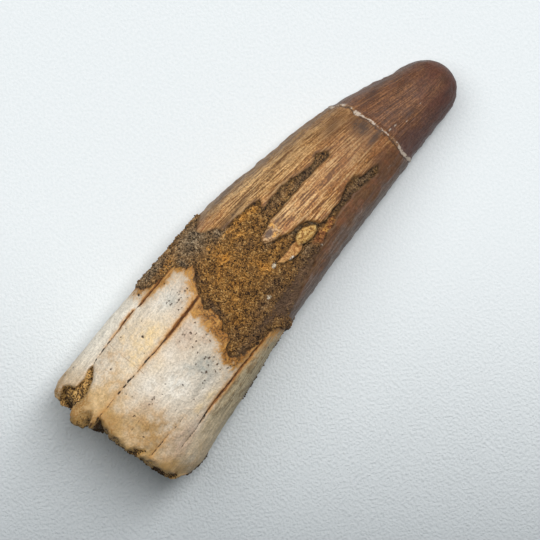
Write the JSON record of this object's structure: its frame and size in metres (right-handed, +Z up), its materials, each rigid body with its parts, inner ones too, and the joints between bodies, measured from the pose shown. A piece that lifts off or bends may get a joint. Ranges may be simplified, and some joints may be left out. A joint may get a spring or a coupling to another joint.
{
  "type": "spinosaurus tooth",
  "caption": "Fossil conical dinosaur tooth with broken root, sandy crust and blunt glued tip, lying on its side.",
  "frame": {"origin": "on the surface that the tooth lies on, under the middle of its bounding box", "axes": "+X from the broken root to the tip, +Y towards the convex front edge, +Z up, away from the surface it lies on"},
  "size_m": [0.0902, 0.0295, 0.0216],
  "materials": {
    "fossil_tooth": "satin",
    "sandy_matrix": "matte"
  },
  "bodies": {
    "root": {"spinosaurus_tooth": "fossil_tooth"}
  },
  "joints": []
}
